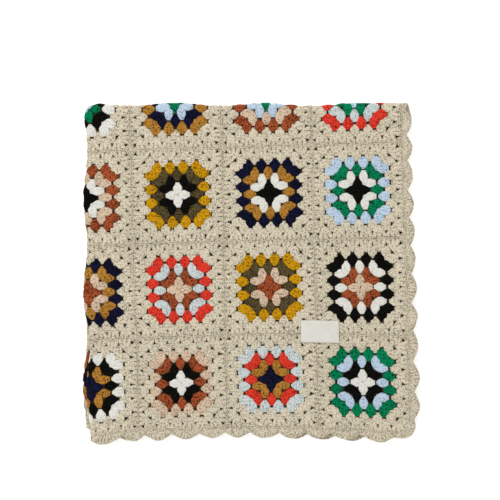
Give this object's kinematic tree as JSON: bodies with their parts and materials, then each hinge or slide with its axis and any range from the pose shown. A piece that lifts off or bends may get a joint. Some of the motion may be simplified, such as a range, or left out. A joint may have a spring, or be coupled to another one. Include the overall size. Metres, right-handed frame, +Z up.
{
  "type": "folded crochet blanket",
  "caption": "Crochet blanket of joined granny squares with a scalloped shell edging and a small sewn-on label, folded in quarters and lying flat.",
  "frame": {"origin": "on the flat underside, at about the middle of the folded blanket", "axes": "+Z up out of the surface it lies on, +X from the first fold to the open side hem, +Y towards the second fold, at the top in the picture"},
  "size_m": [0.4568, 0.4606, 0.0202],
  "materials": {
    "square_yarn": "matt crocheted cotton yarn",
    "edging_yarn": "matt crocheted cotton yarn",
    "woven_label": "flat woven cotton tape"
  },
  "bodies": {
    "root": {"cloth": "square_yarn", "edging": "edging_yarn", "label": "woven_label"}
  },
  "joints": []
}
